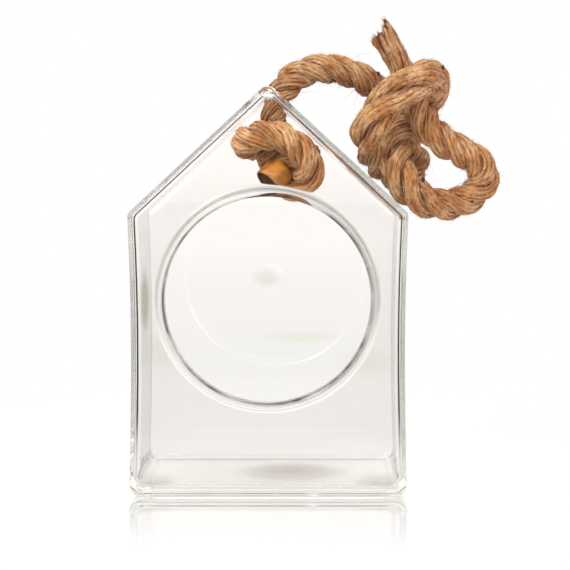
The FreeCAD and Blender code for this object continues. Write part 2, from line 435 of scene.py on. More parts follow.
class Strands:
    """The strands of one rope, laid round a line."""

    def __init__(self, line: RouteLine, lay: RopeLay, phase: float, changes: list[Change], seed: int,
                 cut_back: float) -> None:
        """Lay the strands.

        Args:
            line: the rope's line.
            lay: how the rope is laid up.
            phase: angle of the first strand at the line's start.
            changes: stretches whose shape differs.
            seed: start of the small unevenness, so that each run gives the same rope.
            cut_back: how far before the line's end the strands are cut off flat.
        """
        self.line = line
        self.lay = lay
        self.changes = changes
        self.cut_back = cut_back
        self.around = lay.yarns * lay.points_to_a_yarn
        chance = random.Random(seed)
        self.waves = [(chance.uniform(*lay.wave_mm) * MM, chance.uniform(0, math.tau))
                      for _ in range(lay.strands * lay.waves_to_a_strand)]
        self.yarn_waves = [(chance.uniform(*lay.yarn_wave_mm) * MM, chance.uniform(0, math.tau),
                            chance.uniform(*lay.yarn_swing))
                           for _ in range(lay.strands * lay.yarns)]
        self.centres = [self._centres(k, phase) for k in range(lay.strands)]
        self.rings = [self._rings(k) for k in range(lay.strands)]

    def _scale(self, run: float, kind: str) -> float:
        """Product of one factor of all changes at a distance along the rope.

        Args:
            run: distance from the start.
            kind: name of the factor.

        Returns:
            The factor.
        """
        value = 1.0
        for change in self.changes:
            value *= 1 + (getattr(change, kind) - 1) * change.share(run)
        return value

    def _flattened(self, offset: Vector, index: int) -> Vector:
        """Widen an offset across the band and thin it towards the viewer where the rope is pressed.

        Args:
            offset: offset from the rope's line.
            index: number of the line's point.

        Returns:
            The new offset.
        """
        run = self.line.run[index]
        across, through = self._scale(run, "across"), self._scale(run, "through")
        if across == 1.0 and through == 1.0:
            return offset
        tangent = self.line.tangents[index]
        face = (TOWARDS_VIEWER - tangent * TOWARDS_VIEWER.dot(tangent)).normalized()
        width = tangent.cross(face)
        return offset + width * offset.dot(width) * (across - 1) + face * offset.dot(face) * (through - 1)

    def _centres(self, strand: int, phase: float) -> list[Vector]:
        """Centre line of one strand.

        Args:
            strand: number of the strand.
            phase: angle of the first strand at the start.

        Returns:
            One point for each point of the rope's line.
        """
        line = self.line
        angle = phase + math.tau * strand / self.lay.strands
        centres = []
        for index, point in enumerate(line.points):
            if index:
                step = line.run[index] - line.run[index - 1]
                angle += math.tau * step / (self.lay.pitch * self._scale(line.run[index], "turns"))
            out = line.sides[index] * math.cos(angle) + line.ups[index] * math.sin(angle)
            centres.append(point + self._flattened(out * self.lay.strand_offset, index))
        return centres

    def _swell(self, strand: int, run: float) -> float:
        """Small unevenness of a strand's thickness, nothing at the line's start.

        Args:
            strand: number of the strand.
            run: distance from the start.

        Returns:
            A factor near 1.
        """
        count = self.lay.waves_to_a_strand
        waves = self.waves[strand * count:(strand + 1) * count]
        value = sum(math.sin(math.tau * run / length + shift) for length, shift in waves) / count
        return 1 + self.lay.unevenness * value * smooth(0.0, self.lay.start_evens, run)

    def _rings(self, strand: int) -> list[list[Vector]]:
        """Rings of points round one strand. Each point keeps to one yarn, so that the yarns show.

        Args:
            strand: number of the strand.

        Returns:
            One ring for each point of the rope's line.
        """
        line, lay, centres = self.line, self.lay, self.centres[strand]
        last = len(centres) - 1
        rings = []
        for index, centre in enumerate(centres):
            along = (centres[min(index + 1, last)] - centres[max(index - 1, 0)]).normalized()
            out = centre - line.points[index]
            out = (out - along * out.dot(along)).normalized()
            beside = along.cross(out)
            run = line.run[index]
            size = lay.strand_radius * self._scale(run, "strand") * self._swell(strand, run)
            ring = []
            for number in range(self.around):
                angle = math.tau * number / self.around - lay.yarn_turn * run
                length, shift, swing = self.yarn_waves[strand * lay.yarns + number // lay.points_to_a_yarn]
                rise = math.sin(math.pi * (number % lay.points_to_a_yarn + 0.5) / lay.points_to_a_yarn)
                swell = lay.yarn_swell * swing * math.sin(math.tau * run / length + shift)
                crest = 1 - lay.yarn_relief * (1 - rise) + swell
                offset = (out * math.cos(angle) + beside * math.sin(angle)) * (size * crest)
                ring.append(self._cut(centre + self._flattened(offset, index), run))
            rings.append(ring)
        return rings

    def _cut(self, point: Vector, run: float) -> Vector:
        """Bring a point near the rope's end back to the plane of its cut.

        Args:
            point: a point on a strand.
            run: how far along the rope its ring lies.

        Returns:
            The point, or its place on the cut.
        """
        if run < self.line.length - self.lay.diameter:
            return point
        heading = self.line.tangents[-1]
        past = (point - self.line.points[-1]).dot(heading) + self.cut_back
        return point - heading * past if past > 0 else point

    def build(self, name: str) -> Piece:
        """Make the strands one piece. Close to the hole they count as deep, so that they get painted shade
        there.

        Args:
            name: name of the piece.

        Returns:
            The piece.
        """
        line, lay = self.line, self.lay
        tubes = FibreTubes(lay.strand_radius, self.around)
        for strand, rings in enumerate(self.rings):
            depths: list[float] = []
            for centre, run, ring in zip(line.points, line.run, rings):
                # Painted shade where the strands sit in the ridge hole, fading out along the rope.
                hole_shade = lay.hole_shade_depth * (1 - smooth(*lay.hole_shade_reach, run))
                depths.extend(max(hole_shade, 1 - min(1.0, (point - centre).length / (lay.diameter / 2)))
                              for point in ring)
            tubes.add_tube(strand, rings, depths, line.run, (line.run[0], line.run[-1]))
        return tubes.piece(name)


@dataclass(frozen=True)
class FibreFuzz:
    """Stray fibres that stand out of the yarns: a dense short nap and a few long loose ones.

    Real jute fibre is 0.02 to 0.06 mm thick. It is drawn coarser, because it would not show.
    """

    per_metre: int = 17000
    shortest: float = 1.4 * MM
    nap: float = 4.6 * MM
    longest: float = 12.0 * MM
    loose_share: float = 0.03
    thickness: float = 0.21 * MM
    tip_share: float = 0.2
    sunk: float = 0.3 * MM
    curl: float = 0.15
    bends: int = 3
    sides: int = 3
    least_out: float = 0.42
    bare_ends: int = 4
    along: float = 1.3
    outwards: tuple[float, float] = (0.05, 0.6)
    aside: float = 0.6

    def hair(self, chance: random.Random, root: Vector, heading: Vector,
             length: float) -> tuple[list[Vector], Faces]:
        """Shape one tapered fibre.

        Args:
            chance: source of its bends.
            root: where it leaves the yarn.
            heading: the direction in which it sets out.
            length: its length.

        Returns:
            Its points and faces.
        """
        curl = Vector([chance.gauss(0, 1) for _ in range(3)]) * self.curl
        place = root - heading * self.sunk
        points: list[Vector] = []
        faces: Faces = []
        for step in range(self.bends + 1):
            size = self.thickness / 2 * (1 - (1 - self.tip_share) * step / self.bends)
            first = heading.orthogonal().normalized()
            second = heading.cross(first)
            for side in range(self.sides):
                angle = math.tau * side / self.sides
                points.append(place + (first * math.cos(angle) + second * math.sin(angle)) * size)
            place = place + heading * (length / self.bends)
            heading = (heading + curl).normalized()
            if step < self.bends:
                faces.extend(ring_faces(step * self.sides, (step + 1) * self.sides, self.sides))
        top = self.bends * self.sides
        faces.extend((tuple(reversed(range(self.sides))), tuple(range(top, top + self.sides))))
        return points, faces

    def build(self, name: str, strands: Strands, seed: int) -> Piece:
        """Scatter fibres over a rope.

        Args:
            name: name of the piece.
            strands: the rope's strands.
            seed: start of the scatter.

        Returns:
            The piece.
        """
        chance = random.Random(seed)
        points: list[Vector] = []
        faces: Faces = []
        line = strands.line
        for _ in range(int(self.per_metre * line.length)):
            index = chance.randrange(self.bare_ends, len(line.points) - self.bare_ends)
            strand = chance.randrange(strands.lay.strands)
            root = chance.choice(strands.rings[strand][index])
            away = root - line.points[index]
            if away.length < self.least_out * strands.lay.diameter:
                continue
            loose = chance.random() < self.loose_share
            span = (self.nap, self.longest) if loose else (self.shortest, self.nap)
            length = chance.uniform(*span)
            out, along = away.normalized(), line.tangents[index]
            heading = (along * chance.uniform(-self.along, self.along) + out * chance.uniform(*self.outwards)
                       + along.cross(out) * chance.uniform(-self.aside, self.aside)).normalized()
            more, sides = self.hair(chance, root, heading, length)
            start = len(points)
            points.extend(more)
            faces.extend(tuple(start + number for number in side) for side in sides)
        return mesh_piece(name, points, faces)


@dataclass(frozen=True)
class TailYarns:
    """Yarns that part at the cut end of the tail, those on the loop's side left longer."""

    count: int = 9
    radius: float = 1.75 * MM
    circle: float = 5.2 * MM
    length: float = 27 * MM
    slant: float = 0.62
    splay: float = 0.2
    around: int = 12
    rows: int = 26
    tip_fibres: int = 9
    turn: float = 0.5
    gathered: float = 0.86
    wobble: float = 0.05
    own_twist: float = 2.2
    narrowing: float = 0.45
    bulges: float = 0.08
    depth: float = 0.4
    tip_lean: float = 0.3
    tip_aside: float = 0.8
    tip_fibre_mm: tuple[float, float] = (1.2, 3.4)
    uneven_angle: float = 0.22
    uneven_size: tuple[float, float] = (0.8, 1.2)
    uneven_reach_mm: tuple[float, float] = (-1.6, 1.4)
    wobble_pace: tuple[float, float] = (9, 2.1)
    bulge_pace: float = 17
    narrows_from: float = 0.93

    def build(self, name: str, line: RouteLine, fuzz: FibreFuzz, seed: int) -> Piece:
        """Lay the yarns along the end of the line.

        Args:
            name: name of the piece.
            line: the rope's line.
            fuzz: the fibres that stand out of their tips.
            seed: start of their unevenness.

        Returns:
            The yarns.
        """
        chance = random.Random(seed)
        tubes = FibreTubes(self.radius, self.around)
        begin = line.length - self.length
        for yarn in range(self.count):
            # No two yarns are quite alike in place, thickness and length.
            angle = math.tau * (yarn + chance.uniform(-self.uneven_angle, self.uneven_angle)) / self.count
            size = self.radius * chance.uniform(*self.uneven_size)
            _, heading, side, up = line.at(line.length)
            out = side * math.cos(angle + self.turn) + up * math.sin(angle + self.turn)
            reach = self.length + self.slant * out.x * self.circle
            reach += chance.uniform(*self.uneven_reach_mm) * MM
            tip = Vector()
            rings: list[list[Vector]] = []
            depths: list[float] = []
            for row in range(self.rows + 1):
                share = row / self.rows
                place, heading, side, up = line.at(begin + reach * share)
                bearing = angle + self.turn * share
                out = side * math.cos(bearing) + up * math.sin(bearing)
                along, across = self.wobble_pace
                wobble = self.wobble * math.sin(along * share + yarn * across)
                tip = place + out * (self.circle * (self.gathered + self.splay * share ** 2 + wobble))
                width = size * (1 - self.narrowing * smooth(self.narrows_from, 1.0, share))
                width *= 1 + self.bulges * math.sin(self.bulge_pace * share + yarn)
                spokes = [math.tau * number / self.around + self.own_twist * share
                          for number in range(self.around)]
                rings.append([tip + (out * math.cos(spoke) + heading.cross(out) * math.sin(spoke)) * width
                              for spoke in spokes])
                # Painted shade on the side of each yarn that faces the tail's middle.
                depths.extend(self.depth * (1 - math.cos(spoke)) for spoke in spokes)
            runs = [begin + reach * row / self.rows for row in range(self.rows + 1)]
            tubes.add_tube(yarn, rings, depths, runs, (begin, begin))
            for _ in range(self.tip_fibres):
                lean = Vector([chance.gauss(0, self.tip_lean) for _ in range(3)])
                root = tip + out * chance.uniform(-self.tip_aside, self.tip_aside) * size
                length = chance.uniform(*self.tip_fibre_mm) * MM
                points, faces = fuzz.hair(chance, root, (heading + lean).normalized(), length)
                tubes.add_fibre(yarn, points, faces, begin)
        return tubes.piece(name)


@dataclass(frozen=True)
class BarkSpecks:
    """Crumbs of woody bark that the spinning left between the yarns."""

    places: tuple[Place, ...] = (
        (0.0575, 0.0070, 0.2148), (0.0336, 0.0000, 0.2098), (0.0890, -0.0120, 0.2165),
        (0.0790, -0.0110, 0.1600), (0.0915, -0.0085, 0.2085), (0.1050, -0.0105, 0.1465))
    sizes: tuple[float, ...] = (0.0012, 0.0008, 0.0011, 0.0010, 0.0006, 0.0006)
    shape: Place = (1.0, 0.7, 1.35)
    roughness: float = 0.3

    def build(self, name: str, strands: Strands) -> Piece:
        """Shape the crumbs, set each on the nearest point of the rope and join them.

        Args:
            name: name of the piece.
            strands: the rope's strands.

        Returns:
            The crumbs.
        """
        bpy.ops.object.select_all(action="DESELECT")
        skin = [point for strand in strands.rings for ring in strand for point in ring]
        crumbs = []
        for number, (place, size) in enumerate(zip(self.places, self.sizes)):
            seat = min(skin, key=lambda point: (point - Vector(place)).length)
            bpy.ops.mesh.primitive_ico_sphere_add(subdivisions=2, radius=size, location=seat)
            crumb = bpy.context.active_object
            crumb.scale = self.shape
            bpy.ops.object.mode_set(mode="EDIT")
            bpy.ops.mesh.select_all(action="SELECT")
            bpy.ops.transform.vertex_random(offset=size * self.roughness, seed=number)
            bpy.ops.object.mode_set(mode="OBJECT")
            crumbs.append(crumb)
        for crumb in crumbs:
            crumb.select_set(True)
        bpy.context.view_layer.objects.active = crumbs[0]
        bpy.ops.object.join()
        bpy.ops.object.transform_apply(location=True, rotation=True, scale=True)
        piece = bpy.context.active_object
        piece.name = name
        bpy.ops.object.select_all(action="DESELECT")
        return piece


@dataclass(frozen=True)
class JuteRope:
    """Jute bast fibre, spun and laid dry: matt and streaky, golden on the crests, with painted shade, brown,
    in the lays.

    A fibre is 0.02 to 0.06 mm wide. Its streaks are drawn 0.42 mm wide, because finer ones don't show.
    """

    hollow_shade: str = "521f0a"
    groove_shade: str = "783813"
    shade: str = "a26031"
    body: str = "d39458"
    crest: str = "f6cb98"
    yarn_width_mm: float = 2.48
    fibre_width_mm: float = 0.42
    fibre_length_mm: float = 2.4
    shade_length_mm: float = 22.0
    relief: float = 0.5

    def material(self) -> bpy.types.Material:
        """Build the rope. Its map's u is millimetres round a strand, and its v millimetres along it.

        Returns:
            The material.
        """
        material, node = new_material("jute_laid_rope")
        place = node("UVMap", uv_map="strand_mm")
        where = node("TexCoord", output="Object")
        stretch = node("Mapping", {"Scale": (1 / self.fibre_width_mm, 1 / self.fibre_length_mm, 1),
                                   "Vector": place})
        fibre = node("TexNoise", {"Scale": 1.0, "Detail": 3.0, "Roughness": 0.6, "Vector": stretch})
        wander = node("TexNoise", {"Scale": 0.16, "Vector": place})
        aside = node("MapRange", {0: wander, 3: -1.3, 4: 1.3})
        parts = node("SeparateXYZ", [place]).node.outputs
        around = node("Math:ADD", [parts[0], aside])
        turns = node("Math:MULTIPLY", [around, 1 / self.yarn_width_mm])
        crown = node("Math:PINGPONG", [turns, 0.5])
        # Each yarn has its own run of light and dark.
        number = node("Math:FLOOR", [turns])
        along = node("Math:MULTIPLY", [parts[1], 1 / self.shade_length_mm])
        apart = node("Math:MULTIPLY", [number, 7.3])
        yarn_place = node("CombineXYZ", [apart, along])
        yarn = node("TexNoise", {"Scale": 1.0, "Roughness": 0.6, "Vector": yarn_place})
        patch = node("TexNoise", {"Scale": 110.0, "Detail": 3.0, "Vector": where})
        fibre_share = node("MapRange", [fibre, 0.34, 0.68])
        yarn_share = node("MapRange", [yarn, 0.34, 0.62])
        patch_share = node("MapRange", {0: patch, 1: 0.42, 2: 0.68, 4: 0.7})
        first = node("Mix", {0: yarn_share, 6: linear(self.shade), 7: linear(self.body)}, **MIXED)
        second = node("Mix", {0: patch_share, 6: first, 7: linear(self.crest)}, **MIXED)
        streak = node("MapRange", {0: fibre_share, 3: 0.5, 4: 1.38})
        streaked = node("VectorMath:SCALE", {0: second, 3: streak})
        # Painted shade: brown in the creases between the yarns, broken here and there, and brown depths
        # between the strands.
        low = node("MapRange", [crown, 0.02, 0.26, 0.95, 0.0])
        broken = node("TexNoise", {"Scale": 240.0, "Vector": where})
        kept = node("MapRange", [broken, 0.38, 0.6])
        lines = node("Math:MULTIPLY", [low, kept])
        grooved = node("Mix", {0: lines, 6: streaked, 7: linear(self.groove_shade)}, **MIXED)
        # Painted shade between the strands, darker the deeper a point lies in the rope.
        depth = node("Attribute", output="Fac", attribute_name="depth")
        hollow_shade = node("MapRange", {0: depth, 1: 0.14, 2: 0.5, 4: 0.92})
        colour = node("Mix", {0: hollow_shade, 6: grooved, 7: linear(self.hollow_shade)}, **MIXED)
        rise = node("Math:MULTIPLY", [crown, 1.6])
        height = node("Math:ADD", [rise, fibre])
        relief = node("Bump", {"Distance": self.relief * MM, "Height": height})
        shader = node("BsdfPrincipled", {"Roughness": 0.8, "Specular IOR Level": 0.25, "Sheen Weight": 0.2,
                                         "Sheen Roughness": 0.5, "Base Color": colour, "Normal": relief})
        node("OutputMaterial", {"Surface": shader})
        return material


@dataclass(frozen=True)
class MottledFinish:
    """Matt or glossy finish of two colours that run into each other, with an optional fine relief."""

    name: str
    dark: str
    light: str
    scale: float
    settings: tuple[tuple[str, float], ...]
    detail: float = 2.0
    low: float = 0.0
    high: float = 1.0
    relief: float = 0.0
    relief_mm: float = 0.0
    pattern: Pattern = Pattern.CLOUDS

    def material(self) -> bpy.types.Material:
        """Build the material.

        Returns:
            The material.
        """
        material, node = new_material(self.name)
        where = node("TexCoord", output="Object")
        patches = node(self.pattern.value, {"Vector": where, "Scale": self.scale, "Detail": self.detail})
        share = node("MapRange", [patches, self.low, self.high])
        colour = node("Mix", {0: share, 6: linear(self.dark), 7: linear(self.light)}, **MIXED)
        inputs = {**dict(self.settings), "Base Color": colour}
        if self.relief:
            inputs["Normal"] = node("Bump", {"Strength": self.relief, "Distance": self.relief_mm * MM,
                                             "Height": patches})
        node("OutputMaterial", {"Surface": node("BsdfPrincipled", inputs)})
        return material


# Single jute fibres: pale straw where light comes through them, brown in the shade.
LOOSE_FIBRE = MottledFinish(
    "jute_loose_fibre", "6b3f20", "f3d5b2", scale=420.0, detail=1.0, low=0.38, high=0.56,
    settings=(("Roughness", 0.6), ("Specular IOR Level", 0.3)))

# Bark of the jute stalk, broken small in the spinning: hard, dry and nearly black.
JUTE_BARK = MottledFinish("jute_stalk_bark", "1d120b", "4a3220", scale=900.0, settings=(("Roughness", 0.75),))

# Clear amber tape bound over the rope's end: smooth, a little glossy, darker in its folds.
AMBER_TAPE = MottledFinish(
    "amber_binding_tape", "8f531c", "c98430", scale=300.0, detail=3.0, low=0.3, high=0.62,
    relief=0.6, relief_mm=0.25,
    settings=(("Roughness", 0.42), ("IOR", 1.49), ("Coat Weight", 0.25), ("Coat Roughness", 0.3)))

# Cut face of the bound end: brown, crushed fibre ends, each cell a bundle drawn as coarse as it shows.
CUT_FIBRE = MottledFinish(
    "jute_cut_end", "2e1a10", "6b452b", scale=1400.0, detail=0.0, low=0.15, high=0.75,
    relief=0.8, relief_mm=0.3, pattern=Pattern.CELLS,
    settings=(("Roughness", 0.85), ("Specular IOR Level", 0.25)))


@dataclass(frozen=True)
class Spot:
    """Soft-edged place in the glass where it is thicker or drawn, or where a dark reflection is painted, and
    tints what is seen through it.
    """

    centre: Place
    radii: Place
    colour: str
    core: float = 0.3
    share: float = 1.0

    def mask(self, node: NodeMaker, where: Socket) -> Socket:
        """Measure how far a place lies in the spot.

        Args:
            node: adds a node to the material.
            where: the place in the piece.

        Returns:
            The spot's share in its core, 0 outside.
        """
        centre, scale = tuple(-value for value in self.centre), tuple(1 / value for value in self.radii)
        shift = node("VectorMath:ADD", [where, centre])
        scaled = node("VectorMath:MULTIPLY", [shift, scale])
        reach = node("VectorMath:LENGTH", [scaled], "Value")
        return node("MapRange", [reach, self.core, 1.0, self.share, 0.0], **SOFT)


@dataclass(frozen=True)
class ClearGlass:
    """Soda-lime glass, blown in a mould and fire-polished: clear, faintly grey-green where it is thick."""

    surface: str = "fdfcfb"
    # Painted shade: at the edges seen along the skin, in the mouth's lip, and at the collar's root.
    rim: str = "484943"
    lip_shade: str = "2a2924"
    collar: str = "8f917c"
    depth_colour: str = "c6c6b8"
    density: float = 4.0
    ior: float = 1.46
    mouth_height: float = 0.0995
    mouth_radius: float = 0.0515
    collar_radius: float = 0.0548
    wave_mm: float = 42.0
    wave_height: float = 0.05
    # Thick foot, painted dark reflection in the middle of its underside, streak beside the mouth, mark
    # and three ripples in the back wall, and the two drawn corners of the foot.
    spots: tuple[Spot, ...] = (
        Spot((0.0, 0.0, 0.0), (0.095, 0.065, 0.0068), "f0eee8", core=0.8),
        # Painted dark reflection in the middle of the foot.
        Spot((0.011, 0.004, 0.0), (0.0347, 0.0269, 0.0069), "8a8179", core=0.5, share=0.88),
        Spot((-0.061, -0.040, 0.0985), (0.003, 0.012, 0.021), "c3c2ae", share=0.8),
        Spot((-0.0031, 0.038, 0.1045), (0.010, 0.006, 0.007), "efede9"),
        Spot((0.017, 0.038, 0.0715), (0.032, 0.006, 0.0045), "f6f7ef"),
        Spot((-0.060, 0.038, 0.064), (0.014, 0.006, 0.014), "f3f5ee"),
        Spot((0.052, 0.038, 0.058), (0.022, 0.006, 0.010), "f6f6f0"),
        Spot((-0.060, -0.022, 0.003), (0.018, 0.026, 0.007), "bbb6a3", share=0.6),
        Spot((0.058, -0.022, 0.003), (0.020, 0.026, 0.007), "bbb5a2", share=0.6))

    def material(self) -> bpy.types.Material:
        """Build the glass.

        Returns:
            The material.
        """
        material, node = new_material("soda_lime_blown_glass")
        where = node("TexCoord", output="Object")
        parts = node("SeparateXYZ", [where]).node.outputs
        wave = node("TexNoise", {"Vector": where, "Scale": 1000 / self.wave_mm, "Detail": 1.5,
                                 "Roughness": 0.4})
        relief = node("Bump", {"Distance": self.wave_height * MM, "Height": wave})
        # Painted shade: seen along its skin, at the edges of the walls, the glass is painted dark. In the
        # roof, above the eaves at 128 to 146 mm, it is less so.
        facing = node("LayerWeight", output="Facing")
        walls = node("MapRange", [parts[2], 0.128, 0.146, 1.0, 0.45])
        edge = node("MapRange", {0: facing, 1: 0.79, 2: 0.96, 4: walls})
        # The mouth's lip, where the glass rolls over, and the root of its collar lie at a distance from the
        # mouth's axis, in front of the front wall's skin. Both get painted shade: the lip in a band that
        # widens to the right, the collar's root fading downwards.
        from_mouth = node("VectorMath:ADD", [where, (0.0, 0.0, -self.mouth_height)])
        spoke = node("VectorMath:MULTIPLY", [from_mouth, (1.0, 0.0, 1.0)])
        radius = node("VectorMath:LENGTH", [spoke], "Value")
        gaps = [node("Math:SUBTRACT", [radius, size]) for size in (self.mouth_radius, self.collar_radius)]
        away, outside = (node("Math:ABSOLUTE", [gap]) for gap in gaps)
        face = node("MapRange", [parts[1], -0.0385, -0.0365, 1.0, 0.0])
        thick = node("MapRange", [parts[0], -0.01, 0.05, 1.3 * MM, 3.2 * MM])
        lip_shade = node("MapRange", [away, 0.1 * MM, thick, 1.0, 0.0], **SOFT)
        uneven = node("TexNoise", {"Vector": where, "Scale": 55.0})
        kept = node("MapRange", [uneven, 0.36, 0.58, 0.6, 1.0])
        band = node("Math:MULTIPLY", [lip_shade, kept])
        root = node("MapRange", [outside, 0.2 * MM, 1.5 * MM, 0.8, 0.0], **SOFT)
        high = node("MapRange", [node("SeparateXYZ", [from_mouth], 2), -0.02, 0.03, 0.35, 1.0])
        collar_root_shade = node("Math:MULTIPLY", [root, high])
        collar, lip = (node("Math:MULTIPLY", [part, face]) for part in (collar_root_shade, band))
        tone = linear(self.surface)
        layers = [(spot.mask(node, where), spot.colour) for spot in self.spots]
        layers += [(collar, self.collar), (edge, self.rim), (lip, self.lip_shade)]
        for share, colour in layers:
            tone = node("Mix", {0: share, 6: tone, 7: linear(colour)}, **MIXED)
        glass = node("BsdfPrincipled", {"Roughness": 0.0, "IOR": self.ior, "Transmission Weight": 1.0,
                                        "Base Color": tone, "Normal": relief})
        # Light that falls through to the floor keeps its way, so that the shadow stays pale.
        clear = node("BsdfTransparent", {"Color": (0.9, 0.92, 0.9, 1.0)})
        shadow = node("LightPath", output="Is Shadow Ray")
        surface = node("MixShader", [shadow, glass, clear])
        body = node("VolumeAbsorption", {"Color": linear(self.depth_colour), "Density": self.density})
        node("OutputMaterial", {"Surface": surface, "Volume": body})
        return material


@dataclass
class GlassHouse:
    """The blown house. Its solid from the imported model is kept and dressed."""

    finish: ClearGlass = ClearGlass()

    def build(self) -> Piece:
        """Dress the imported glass.

        Returns:
            The glass object.
        """
        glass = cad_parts["glass_house"]
        for place in glass.material_slots:
            place.material = self.finish.material()
        return glass


@dataclass
class EndBinding:
    """Tape wound round the short end of the stopper knot, with the cut face inside it."""

    radius: float = 7.2 * MM
    thickness: float = 0.35 * MM
    length: float = 12.5 * MM
    wraps: int = 5
    around: int = 48
    lap: float = 0.45
    oval: float = 0.035
    lobed: float = 0.02
    # Rings of the closed end: size against the rim, place along the rope, 0 for tape or 1 for cut fibre.
    end_rings: tuple[tuple[float, float, int], ...] = ((0.9, 0.25 * MM, 0), (0.84, -0.9 * MM, 1),
                                                       (0.45, -0.7 * MM, 1), (0.2, -1.1 * MM, 1))

    def build(self, line: RouteLine) -> Piece:
        """Wind the tape along the end of the line and close it with the cut face.

        Args:
            line: line of the stopper knot.

        Returns:
            The binding.
        """
        first = next(i for i, run in enumerate(line.run) if run > line.length - self.length)
        points: list[Vector] = []
        begin = line.run[first]
        for index in range(first, len(line.points)):
            # The tape thins out at its edges, steps up at each wrap, and the rope under it isn't quite round.
            share = (line.run[index] - begin) / (line.length - begin)
            edge = smooth(0.0, 0.12, share) * (1 - 0.5 * smooth(0.9, 1.0, share))
            wrap = (share * self.wraps) % 1.0
            size = self.radius + self.thickness * edge * (1 - self.lap + self.lap * wrap)
            for number in range(self.around):
                angle = math.tau * number / self.around
                squeeze = 1 + self.oval * math.sin(2 * angle + 0.6)
                squeeze += self.lobed * math.sin(3 * angle + 2 * share)
                out = line.sides[index] * math.cos(angle) + line.ups[index] * math.sin(angle)
                points.append(line.points[index] + out * size * squeeze)
        rim = len(points) - self.around
        faces: Faces = []
        for low in range(0, rim, self.around):
            faces.extend(ring_faces(low, low + self.around, self.around))
        faces.append(tuple(reversed(range(self.around))))
        kinds = [0] * len(faces)
        spokes = [point - line.points[-1] for point in points[rim:]]
        outer = rim
        for inset, sink, kind in self.end_rings:
            centre = line.points[-1] + line.tangents[-1] * sink
            inner = len(points)
            points.extend(centre + spoke * inset for spoke in spokes)
            faces.extend(ring_faces(outer, inner, self.around))
            kinds.extend([kind] * self.around)
            outer = inner
        faces.append(tuple(range(outer, outer + self.around)))
        kinds.append(1)
        piece = mesh_piece("stopper_end_binding", points, faces)
        dress(piece, AMBER_TAPE.material(), CUT_FIBRE.material())
        piece.data.polygons.foreach_set("material_index", kinds)
        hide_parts("rope_end_binding")
        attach(piece, Body.ROPE.value)
        return piece


def join_rope(piece: Piece, finish: bpy.types.Material) -> Piece:
    """Dress a piece and let it ride on the rope's body.

    Args:
        piece: a piece of the rope.
        finish: its material.

    Returns:
        The piece.
    """
    dress(piece, finish)
    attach(piece, Body.ROPE.value)
    return piece


class Rope:
    """The one rope of the vase, in two lengths that start together in the ridge hole."""

    def __init__(self) -> None:
        """Set the sizes and finishes that both lengths share."""
        self.lay = RopeLay()
        self.fuzz = FibreFuzz()
        self.worn_fuzz = FibreFuzz(per_metre=12000, nap=2.4 * MM, longest=5.0 * MM)
        self.finish = JuteRope().material()
        self.fibre_finish = LOOSE_FIBRE.material()
        self.phase = 0.6

    def hanger(self) -> list[Piece]:
        """Lay the length outside the house: arch, outer knot, hanging loop and tail.

        Returns:
            The strands and the pieces that go with them.
        """
        line = RouteLine("hanger_line", HANGER_ROUTE, Vector((1, 0, 0)))
        # Pressed in the hole, flat and open where it wraps the knot, slack in the loop, open in the tail.
        # The numbers in brackets are places on the route.
        changes = [Change(-2 * MM, -1 * MM, 12 * MM, 24 * MM, across=0.92, through=0.92),
                   Change(*map(line.nearest, (15, 17, 20, 22)), across=1.2, through=0.82, turns=2.2,
                          strand=1.1),
                   Change(*map(line.nearest, (25, 26, 28, 30)), across=1.16, through=0.9, turns=1.3),
                   Change(*map(line.nearest, (28, 30, 36, 38)), across=1.07),
                   Change(*map(line.nearest, (38, 40)), *line.beyond, turns=3.0, across=0.78, through=0.78)]
        strands = Strands(line, self.lay, self.phase, changes, seed=11, cut_back=1.0 * MM)
        piece = join_rope(strands.build("hanger_strands"), self.finish)
        fibres = join_rope(self.fuzz.build("hanger_fibres", strands, seed=21), self.fibre_finish)
        yarns = join_rope(TailYarns().build("hanger_tail_yarns", line, self.fuzz, seed=31), self.finish)
        specks = join_rope(BarkSpecks().build("hanger_bark_specks", strands), JUTE_BARK.material())
        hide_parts("rope_neck", "rope_arch", "rope_knot_collar", "rope_hanging_loop", "rope_tail")
        return [piece, fibres, yarns, specks]

    def stopper(self) -> list[Piece]:
        """Lay the length inside the house: the stopper knot with its bound end.

        Returns:
            The strands and the pieces that go with them.
        """
        line = RouteLine("stopper_line", STOPPER_ROUTE, Vector((1, 0, 0)))
        # Pressed in the hole and under the tape.
        changes = [Change(-2 * MM, -1 * MM, 12 * MM, 20 * MM, across=0.92, through=0.92),
                   Change(line.length - 16 * MM, line.length - 11 * MM, *line.beyond,
                          across=0.93, through=0.93)]
        strands = Strands(line, self.lay, -self.phase, changes, seed=12, cut_back=1.3 * MM)
        piece = join_rope(strands.build("stopper_strands"), self.finish)
        fibres = join_rope(self.worn_fuzz.build("stopper_fibres", strands, seed=22), self.fibre_finish)
        binding = EndBinding().build(line)
        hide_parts("rope_stopper_knot")
        return [piece, fibres, binding]


